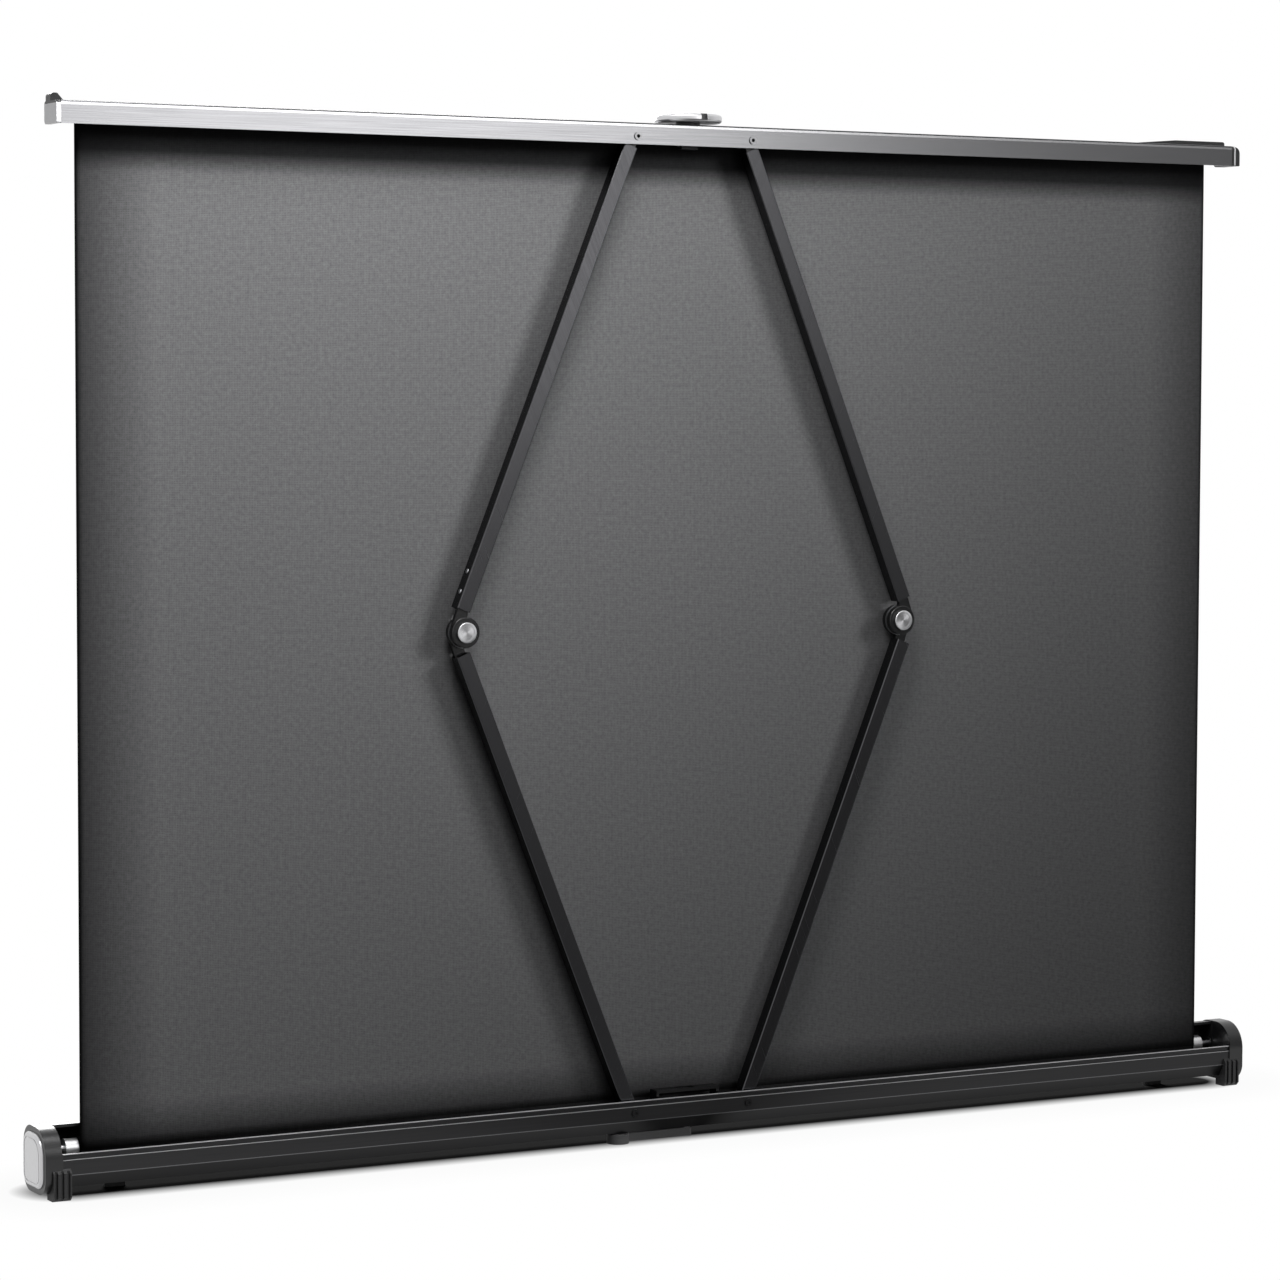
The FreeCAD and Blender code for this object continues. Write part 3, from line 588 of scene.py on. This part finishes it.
@dataclass
class Sheet:
    """The cloth: stretched flat between the roller and the rail.

    Attributes:
        columns: points across the width.
        rows: points up the height.
        ripple_mm: height of the slack ripples.
        ripples: share of that height, waves across the width and drift up the sheet, of each.
        closed_share: height left of the sheet when the rail is down on the base; not used.
        low: lowest corner of the solid that it stands for.
        high: highest corner of it.
    """

    columns: int = 181
    rows: int = 121
    ripple_mm: float = 0.1
    ripples: tuple[Point, ...] = ((1.0, 3.2, 0.4), (0.6, 7.1, -0.7))
    closed_share: float = 0.0215
    low: Vector = field(default_factory=lambda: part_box("screen_sheet")[0])
    high: Vector = field(default_factory=lambda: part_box("screen_sheet")[1])

    def surface(self) -> np.ndarray:
        """Works out the middle surface of the sheet.

        x and z run evenly over the sheet. y is the sheet's middle, plus ripples that are long
        sines across the width whose phases drift with height. They die out as the half sine of
        the height, so the sheet is straight where it is held.

        Returns:
            Points as rows by columns by three, in metres.
        """
        u, v = np.meshgrid(np.linspace(0, 1, self.columns), np.linspace(0, 1, self.rows))
        x = self.low.x + u * (self.high.x - self.low.x)
        z = self.low.z + v * (self.high.z - self.low.z)
        held = np.sin(math.pi * v)
        ripple = sum(share * np.sin(2 * math.pi * (across * u + drift * v))
                     for share, across, drift in self.ripples)
        y = (self.low.y + self.high.y) / 2 + held * self.ripple_mm * MM * ripple
        return np.stack([x, y, z], axis=-1)

    def build(self) -> bpy.types.Object:
        """Makes the sheet as a closed shell.

        The middle surface is moved half the thickness to -Y for the back layer and to +Y for the
        front layer, and a rim of faces joins their outlines.

        Returns:
            The cloth.
        """
        surface = self.surface()
        half = np.array([0.0, (self.high.y - self.low.y) / 2, 0.0])
        points = np.concatenate([(surface - half).reshape(-1, 3), (surface + half).reshape(-1, 3)])
        count = self.rows * self.columns
        numbers = np.arange(count).reshape(self.rows, self.columns)
        loop = np.concatenate([numbers[0, :-1], numbers[:-1, -1], numbers[-1, :0:-1],
                               numbers[:0:-1, 0]])
        after = np.roll(loop, -1)
        rim = np.stack([loop, loop + count, after + count, after], axis=-1)
        back = grid_faces(self.rows, self.columns)
        front = grid_faces(self.rows, self.columns, start=count, flip=True)
        cloth = new_piece("screen_cloth", points, [back, front, rim])
        size = np.array([self.high.x - self.low.x, self.high.z - self.low.z])
        lay_flat(cloth.data, (points[:, [0, 2]] - [self.low.x, self.low.z]) / size)
        sides = np.zeros(len(cloth.data.polygons), dtype=np.int32)
        sides[len(back):len(back) + len(front)] = 1
        cloth.data.materials.append(CLOTH_BACK.material())
        cloth.data.materials.append(CLOTH_FRONT.material())
        cloth.data.polygons.foreach_set("material_index", sides)
        return cloth

    def place(self) -> None:
        """Builds the sheet and ties it to the base."""
        cloth = self.build()
        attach(cloth, "base")
        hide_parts("screen_sheet")
        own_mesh(cloth)
        LOG.info("screen_cloth stretched from roller to rail")


@dataclass
class Roller:
    """Roller in the base, with the last turns of the cloth on it.

    Attributes:
        turns: turns of cloth left on the tube.
        layer_mm: thickness of the cloth.
        pitch_mm: growth of the radius per turn.
        steps: points along the spiral.
        map_height: share of the sheet's height that the strip takes on its UV map.
        low: lowest corner of the solid that the cloth stands for.
        high: highest corner of it.
    """

    turns: float = 1.2
    layer_mm: float = 0.25
    pitch_mm: float = 0.27
    steps: int = 160
    map_height: float = 0.3
    low: Vector = field(default_factory=lambda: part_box("sheet_wraps")[0])
    high: Vector = field(default_factory=lambda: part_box("sheet_wraps")[1])

    def build(self) -> bpy.types.Object:
        """Makes the wound cloth: a flat spiral strip carried along X.

        The outer face starts where the cloth leaves the roller, at full radius on the -Y side, and
        goes round under the tube with a radius that falls by one pitch per turn. The inner face is
        one layer below it.

        Returns:
            The wound cloth.
        """
        axis = (self.low + self.high) / 2
        turned = np.linspace(0, 2 * math.pi * self.turns, self.steps)
        outer = (self.high.z - self.low.z) / 2 - self.pitch_mm * MM * turned / (2 * math.pi)
        inner = outer - self.layer_mm * MM
        angle = math.pi + turned
        radius = np.concatenate([outer, inner[::-1]])
        around = np.concatenate([angle, angle[::-1]])
        y = axis.y + radius * np.cos(around)
        z = axis.z + radius * np.sin(around)
        count = len(y)
        ends = np.array([self.low.x, self.high.x])
        points = np.stack([np.repeat(ends, count), np.tile(y, 2), np.tile(z, 2)], axis=-1)
        first = np.arange(self.steps - 1)
        cap = np.stack([first, count - 1 - first, count - 2 - first, first + 1], axis=-1)
        wound = new_piece("roller_cloth", points,
                          [grid_faces(2, count, wrap=True), cap, cap[:, ::-1] + count])
        lay_flat(wound.data, np.stack([np.repeat([0.0, 1.0], count),
                                       np.tile(np.linspace(0.0, self.map_height, count), 2)],
                                      axis=-1))
        wound.data.materials.append(CLOTH_BACK.material())
        return wound

    def place(self) -> None:
        """Winds the cloth on the tube and dresses the roller's own pieces."""
        wound = self.build()
        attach(wound, "roller")
        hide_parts("sheet_wraps")
        LOG.info("roller_cloth wound on the tube")
        dress(ROLLER_DRAWN, "roller_tube", "idle_plug")
        dress(ABS_BLACK, "drive_plug", "spring_anchor", *both("roller_bush"))
        dress(ZINC_STEEL, "spring_rod", "torsion_spring")


@dataclass
class Base:
    """Low trough with its end caps, feet, swivel foot and catch."""

    def place(self) -> None:
        """Dresses the base's pieces."""
        dress(BASE_BLACK, "base_channel")
        dress(ABS_BLACK, *both("end_cap"))
        dress(POWDER_GREY, "swivel_stay", "stay_pad")
        dress(CAST_BLACK, "lock_catch")
        dress(ABS_SILVER, *both("cap_inlay"))
        dress(ZINC_STEEL, "cap_screws", "stay_rivet", "stay_washer")
        dress(OXIDE_BLACK, "catch_screws")
        dress(RUBBER, *both("rear_foot"), *both("front_pad"))


@dataclass
class Arms:
    """Folding diamond of four square tubes.

    Attributes:
        rivet_places_mm: places of the rivets along an upper bar, from its elbow.
        rivet_radius_mm: radius of a rivet head.
        rivet_height_mm: height of a rivet head.
        rivet_root_mm: depth of a rivet below the bar's face.
        rivet_rings: rings of points up a head.
        rivet_columns: points round a head.
        rivet_top: angle up the dome of the last ring, in half turns.
    """

    rivet_places_mm: tuple[float, ...] = (24.0, 38.0)
    rivet_radius_mm: float = 1.7
    rivet_height_mm: float = 0.7
    rivet_root_mm: float = 0.4
    rivet_rings: int = 8
    rivet_columns: int = 24
    rivet_top: float = 0.46

    def head(self, foot: np.ndarray, out: np.ndarray) -> np.ndarray:
        """Works out the points of one domed rivet head.

        Rings go up the head: the lowest lies below the bar's face at full radius, and above the
        face the radius falls as the cosine and the height rises as the sine of an angle that stops
        just short of the top.

        Args:
            foot: middle of the head on the bar's face, in metres.
            out: direction that the head points in.

        Returns:
            Points as rings by columns by three, in metres.
        """
        angle = np.linspace(0, self.rivet_top * math.pi, self.rivet_rings - 1)
        radius = self.rivet_radius_mm * np.concatenate([[1.0], np.cos(angle)])
        height = np.concatenate([[-self.rivet_root_mm], self.rivet_height_mm * np.sin(angle)])
        turn = np.linspace(0, 2 * math.pi, self.rivet_columns, endpoint=False)
        across = np.array([0.0, 1.0, 0.0])
        beside = np.cross(out, across)
        ring = np.cos(turn)[:, None] * across + np.sin(turn)[:, None] * beside
        return foot + MM * (radius[:, None, None] * ring[None] + height[:, None, None] * out)

    def rivets(self, side: str, sign: float) -> None:
        """Puts the rivets that hold an upper bar's knuckle on the bar's outer face.

        Args:
            side: "left" or "right".
            sign: -1 on the left, 1 on the right.
        """
        lean = math.radians(ARM_ANGLE)
        elbow = np.array(middle("elbow_cap_" + side))
        along = np.array([-sign * math.cos(lean), 0.0, math.sin(lean)])
        out = np.array([sign * math.sin(lean), 0.0, math.cos(lean)])
        low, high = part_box("upper_arm_" + side)
        # The bar is square, so its outer face lies half its depth from the line in its middle.
        bar = np.array(middle("upper_arm_" + side))
        foot = elbow + out * ((bar - elbow) @ out + (high.y - low.y) / 2)
        foot[1] = bar[1]
        heads = [self.head(foot + along * place * MM, out) for place in self.rivet_places_mm]
        count = self.rivet_rings * self.rivet_columns
        ring = np.arange(self.rivet_columns)
        faces: list[np.ndarray] = []
        for start in range(0, count * len(heads), count):
            faces += [grid_faces(self.rivet_rings, self.rivet_columns, start=start, wrap=True),
                      (start + ring[::-1])[None], (start + count - self.rivet_columns + ring)[None]]
        piece = new_piece("arm_rivets_" + side, np.stack(heads), faces)
        piece.data.materials.append(ZINC_STEEL.material())
        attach(piece, "upper_" + side)
        LOG.info("%s on the bar's outer face", piece.name)

    def place(self) -> None:
        """Dresses the arms, their joints and their screws, and adds the rivets."""
        dress(ARM_BLACK_RISING, "upper_arm_left", "lower_arm_right")
        dress(ARM_BLACK_FALLING, "upper_arm_right", "lower_arm_left")
        for stem in ("lower_lug", "upper_lug", "lower_knuckle", "upper_knuckle", "elbow_clip"):
            dress(CAST_BLACK, *both(stem))
        dress(ZINC_STEEL, *both("elbow_pin"), *both("elbow_washer"))
        for name in both("elbow_cap"):
            material = name.replace("elbow_cap", "turned_aluminium")
            dress(turned_finish(material, middle(name), Axis.Y), name)
        dress(OXIDE_BLACK, *both("base_pivot_screw"), "base_pivot_nuts", "rail_pivot_nuts")
        self.rivets("left", -1.0)
        self.rivets("right", 1.0)


@dataclass
class Rail:
    """Top rail with its end caps and turn lock.

    Attributes:
        dark_edge_mm: depth of the dark line below the rail's top.
        edge_highlight_mm: depth below the top of the low edge of the painted highlight under the
            top edge.
        hook_mm: low and high end of the left cap's black hook, from the rail's top.
        line_mm: start and end of the bright line in the right cap, from the cap's end.
        recess_shade_mm: start and end of the painted shade in a screw's drive hole, from the front
            of its head.
    """

    dark_edge_mm: float = 1.0
    edge_highlight_mm: float = 2.4
    hook_mm: tuple[float, float] = (-1.6, 12.0)
    line_mm: tuple[float, float] = (-4.8, -3.6)
    recess_shade_mm: tuple[float, float] = (0.35, 0.8)

    def dress_rail(self) -> None:
        """Dresses the rail, its end caps and its screws, with bands set out from their ends."""
        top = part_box("rail_channel")[1].z / MM
        # A dark line round the top edge, with a painted highlight under it standing for the rail's
        # lit top face.
        dark_edge = Band(Axis.Z, top - self.dark_edge_mm, top + self.dark_edge_mm, "#4a4a4c", 0.2)
        edge_highlight = Band(Axis.Z, top - self.edge_highlight_mm, top - self.dark_edge_mm, "#d4d4d6")
        # Brushed aluminium: long brush lines, a dark line on the top edge and a painted highlight
        # just under it.
        dress(Finish("brushed_aluminium", "#9c9c9e", "#848486", 0.24, metallic=1.0,
                     grain=Grain.DRAWN, pitch_mm=0.7, relief_mm=0.01, bands=(dark_edge, edge_highlight)),
              "rail_channel")
        hook = Band(Axis.Z, top + self.hook_mm[0], top + self.hook_mm[1], "#1a1a1b")
        # Black ABS cap like the right one, painted silver as a painted reflection of the white
        # surroundings: smooth and half bright, with the hook above the rail left black.
        dress(Finish("abs_cap_painted_reflection", "#d6d6d8", "#cacacc", 0.36, metallic=0.4, grain=Grain.CAST,
                     pitch_mm=2.0, relief_mm=0.006, bands=(hook,)), "rail_cap_left")
        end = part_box("rail_cap_right")[1].x / MM
        line = Band(Axis.X, end + self.line_mm[0], end + self.line_mm[1], "#c8c8ca")
        # Moulded black ABS: fine spark-eroded texture, with a bright line round it near its end.
        dress(Finish("moulded_abs_lined", "#1e1e1f", "#141415", 0.42, grain=Grain.MOULDED,
                     pitch_mm=0.6, relief_mm=0.03, bands=(line,)), "rail_cap_right")
        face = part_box("rail_pivot_screw_left")[0].y / MM
        recess_shade = Band(Axis.Y, face + self.recess_shade_mm[0], face + self.recess_shade_mm[1], "#0c0c0d")
        # Zinc plated steel screw: dull bright head with painted shade in its drive recess.
        dress(Finish("zinc_plated_screw", "#a6a6a8", "#8c8c8e", 0.32, metallic=1.0,
                     grain=Grain.CAST, pitch_mm=0.8, relief_mm=0.008, bands=(recess_shade,)),
              *both("rail_pivot_screw"))

    def place(self) -> None:
        """Dresses the rail and the lock."""
        self.dress_rail()
        dress(ABS_BLACK, "knob_collar", "knob_grip")
        dress(ZINC_STEEL, "clamp_bar")
        dress(OXIDE_BLACK, "lock_cam")
        dress(turned_finish("turned_aluminium_knob", middle("lock_knob"), Axis.Z), "lock_knob")


@dataclass(frozen=True)
class Lamp:
    """One soft lamp.

    Attributes:
        name: name of the lamp.
        place: its middle, in metres.
        aim: point that it faces.
        size: its width and height, in metres.
        watts: its power.
        spread: full angle of its beam, in degrees.
        in_mirrors: True where reflections show it.
    """

    name: str
    place: Point
    aim: Point
    size: tuple[float, float]
    watts: float
    spread: float = 180.0
    in_mirrors: bool = True

    def hang(self) -> None:
        """Adds the lamp to the scene, out of the camera's sight."""
        data = bpy.data.lights.new(self.name, "AREA")
        data.shape = "RECTANGLE"
        data.size, data.size_y = self.size
        data.energy = self.watts
        data.spread = math.radians(self.spread)
        lamp = bpy.data.objects.new(self.name, data)
        lamp.location = self.place
        way = Vector(self.aim) - Vector(self.place)
        lamp.rotation_euler = way.to_track_quat("-Z", "Y").to_euler()
        lamp.visible_camera = False
        lamp.visible_glossy = self.in_mirrors
        bpy.context.scene.collection.objects.link(lamp)


# The key lamp throws the arms' shadows to the left, the top lamp brightens the sheet under the
# rail, the softbox is what the rail and the arms mirror, and the front lamp is for the other side.
LAMPS = (
    Lamp("key_lamp", (1.5, -1.25, 1.3), (-0.72, 0.0, 0.7), (0.7, 0.7), 7.3, 50.0, False),
    Lamp("top_lamp", (-0.34, -0.36, 1.1), (-0.15, 0.0, 0.36), (0.36, 0.36), 6.4),
    Lamp("rail_softbox", (0.64, -1.9, 0.92), (0.3, 0.0, 0.74), (0.92, 0.8), 4.9),
    Lamp("front_lamp", (0.4, 2.1, 1.25), (0.0, 0.0, 0.35), (1.2, 1.2), 60.0),
)


@dataclass
class Studio:
    """Pale floor, soft light and the camera.

    Attributes:
        eye: camera's place in metres.
        yaw: turn of the view from +Y towards +X, in degrees.
        pitch: tilt of the view above level, in degrees.
        roll: turn of the picture, in radians.
        focal_px: focal length in pixels of the picture.
        picture_px: width of that picture.
        surround: light of the surroundings.
        back_way: Y of the directions between which reflections pass from the front to the back.
        right_way: X of the directions between which the back turns dark.
        dark_share: share of the back's light that is left at the right.
        floor_mirror: light of the floor's back for reflections, where the world's is 1.
        floor_half: half the floor's width, in metres.
        floor_drop: depth of the floor below the feet, in metres.
        floor_bounce: floor's colour for soft light.
        floor_shade: floor's darker colour under the base, a painted shade there over the real
            shadow.
        shade_middle: middle of the line that the shade is measured from, in metres. It lies a
            little in front of the base's middle, to cover the floor seen under the base.
        shade_half: half the size of that line, in metres.
        shade_ends: distances from the line where the floor's white starts, is nearly full and
            is full, in metres.
        shade_white: share of white at the second of these distances.
    """

    eye: Point = (-1.3068, -2.335, 0.498)
    yaw: float = 28.66
    pitch: float = -3.51
    roll: float = 0.0028
    focal_px: float = 4004.7
    picture_px: float = 1280.0
    surround: str = "#464646"
    back_way: tuple[float, float] = (-0.4, -0.7)
    right_way: tuple[float, float] = (0.42, 0.6)
    dark_share: float = 0.03
    floor_mirror: float = 0.16
    floor_half: float = 6.0
    floor_drop: float = 0.0002
    floor_bounce: str = "#666666"
    floor_shade: str = "#3e3e3e"
    shade_middle: Point = (0.0, 0.0121, 0.0)
    shade_half: Point = (0.43, 0.0, 0.0)
    shade_ends: Point = (0.016, 0.038, 0.1)
    shade_white: float = 0.96

    def camera(self) -> None:
        """Puts the camera where the picture was taken from."""
        yaw, pitch = math.radians(self.yaw), math.radians(self.pitch)
        ahead = Vector((math.sin(yaw) * math.cos(pitch), math.cos(yaw) * math.cos(pitch),
                        math.sin(pitch)))
        right = Vector((math.cos(yaw), -math.sin(yaw), 0.0))
        up = right.cross(ahead)
        across = right * math.cos(self.roll) + up * math.sin(self.roll)
        above = up * math.cos(self.roll) - right * math.sin(self.roll)
        data = bpy.data.cameras.new("camera")
        data.sensor_width = 36.0
        data.lens = self.focal_px / self.picture_px * data.sensor_width
        data.clip_end = 100.0
        eye = bpy.data.objects.new("camera", data)
        turned = Matrix((across, above, -ahead)).transposed().to_4x4()
        eye.matrix_world = Matrix.Translation(self.eye) @ turned
        bpy.context.scene.collection.objects.link(eye)
        bpy.context.scene.camera = eye

    def bright(self, tree: Tree, in_mirrors: Socket) -> Socket:
        """Gives 1 for the eye and see-through surfaces, a share for reflections, 0 for soft light.

        Args:
            tree: node tree that takes the nodes.
            in_mirrors: share for reflections.

        Returns:
            The socket of the share.
        """
        path = add_node(tree, "ShaderNodeLightPath")
        seen = add_node(tree, "ShaderNodeMath",
                        {0: path.outputs["Is Camera Ray"], 1: path.outputs["Is Transmission Ray"]},
                        operation="MAXIMUM")
        mirrored = add_node(tree, "ShaderNodeMath",
                            {0: path.outputs["Is Glossy Ray"], 1: in_mirrors}, operation="MULTIPLY")
        return add_node(tree, "ShaderNodeMath", {0: seen.outputs[0], 1: mirrored.outputs[0]},
                        operation="MAXIMUM").outputs[0]

    def mirrored(self, tree: Tree, way: Socket, back: float) -> Socket:
        """Gives the light that reflections see: full in front, dark at the back right.

        Args:
            tree: node tree that takes the nodes.
            way: direction of unit length.
            back: light at the back left.

        Returns:
            The socket of the light.
        """
        parts = add_node(tree, "ShaderNodeSeparateXYZ", {0: way})
        behind = add_node(tree, "ShaderNodeMapRange",
                          {0: parts.outputs[1], 1: self.back_way[0], 2: self.back_way[1]})
        left = add_node(tree, "ShaderNodeMapRange",
                        {0: parts.outputs[0], 1: self.right_way[0], 2: self.right_way[1], 3: back,
                         4: self.dark_share * back})
        return add_node(tree, "ShaderNodeMix",
                        {0: behind.outputs[0], 2: 1.0, 3: left.outputs[0]}).outputs[0]

    def world(self) -> None:
        """Makes the white surroundings: dim as a light, with a dark side for reflections alone."""
        world = bpy.data.worlds.new("studio")
        world.use_nodes = True
        tree = world.node_tree
        way = add_node(tree, "ShaderNodeTexCoord")
        light = self.mirrored(tree, way.outputs["Generated"], 1.0)
        colour = add_node(tree, "ShaderNodeMix",
                          {0: self.bright(tree, light), 6: linear(self.surround), 7: WHITE},
                          data_type="RGBA")
        tree.links.new(colour.outputs[2], tree.nodes["Background"].inputs["Color"])
        bpy.context.scene.world = world

    def own_white(self, tree: Tree, point: Socket) -> Socket:
        """Works out how far the floor shows its own white instead of the light on it.

        The distance is measured from a line under the base: past the line's ends in X, and either
        side of it in Y. White is absent near the line, grows fast at first and then slowly.

        Args:
            tree: node tree of the floor's material.
            point: point of the floor.

        Returns:
            The socket of the share of white.
        """
        moved = add_node(tree, "ShaderNodeVectorMath", {0: point, 1: self.shade_middle},
                         operation="SUBTRACT")
        either = add_node(tree, "ShaderNodeVectorMath", {0: moved.outputs[0]}, operation="ABSOLUTE")
        past = add_node(tree, "ShaderNodeVectorMath", {0: either.outputs[0], 1: self.shade_half},
                        operation="SUBTRACT")
        beyond = add_node(tree, "ShaderNodeVectorMath", {0: past.outputs[0], 1: (0.0, 0.0, 0.0)},
                          operation="MAXIMUM")
        far = add_node(tree, "ShaderNodeVectorMath", {0: beyond.outputs[0]}, operation="LENGTH")
        near, clear, full = self.shade_ends
        fast = add_node(tree, "ShaderNodeMapRange", {0: far.outputs["Value"], 1: near, 2: clear,
                                                     3: 0.0, 4: self.shade_white})
        slow = add_node(tree, "ShaderNodeMapRange", {0: far.outputs["Value"], 1: clear, 2: full,
                                                     3: 0.0, 4: 1.0 - self.shade_white})
        return add_node(tree, "ShaderNodeMath", {0: fast.outputs[0], 1: slow.outputs[0]},
                        operation="ADD").outputs[0]

    def floor(self) -> None:
        """Lays the pale floor: a flat square, with painted and real shade under the base and white
        all round it.
        """
        span = np.linspace(-self.floor_half, self.floor_half, 2)
        x, y = np.meshgrid(span, span)
        floor = new_piece("floor", np.stack([x, y, np.full_like(x, -self.floor_drop)], axis=-1),
                          [grid_faces(2, 2)])
        made = bpy.data.materials.new("pale_floor")
        made.use_nodes = True
        tree = made.node_tree
        tree.nodes.remove(tree.nodes["Principled BSDF"])
        white = add_node(tree, "ShaderNodeEmission", {"Color": WHITE, "Strength": 1.0})
        where = add_node(tree, "ShaderNodeTexCoord")
        own = self.own_white(tree, where.outputs["Object"])
        way = add_node(tree, "ShaderNodeVectorMath", {0: where.outputs["Object"]},
                       operation="NORMALIZE")
        seen = self.bright(tree, self.mirrored(tree, way.outputs[0], self.floor_mirror))
        share = add_node(tree, "ShaderNodeMath", {0: seen, 1: own}, operation="MULTIPLY")
        grey = add_node(tree, "ShaderNodeMix",
                        {0: seen, 6: linear(self.floor_bounce), 7: linear(self.floor_shade)},
                        data_type="RGBA")
        matt = add_node(tree, "ShaderNodeBsdfDiffuse", {"Color": grey.outputs[2]})
        mixed = add_node(tree, "ShaderNodeMixShader",
                         {0: share.outputs[0], 1: matt.outputs[0], 2: white.outputs[0]})
        tree.links.new(mixed.outputs[0], tree.nodes["Material Output"].inputs["Surface"])
        floor.data.materials.append(made)

    def place(self) -> None:
        """Sets up the floor, the surroundings, the lamps and the camera."""
        self.floor()
        self.world()
        for lamp in LAMPS:
            lamp.hang()
        self.camera()
        bpy.context.scene.view_settings.view_transform = "Standard"


def main() -> None:
    """Builds and dresses each sub-assembly in turn and sets the studio."""
    for kind in (Sheet, Roller, Base, Arms, Rail, Studio):
        kind().place()
        LOG.info("%s is in place", kind.__name__.lower())


if __name__ == "__main__":
    main()
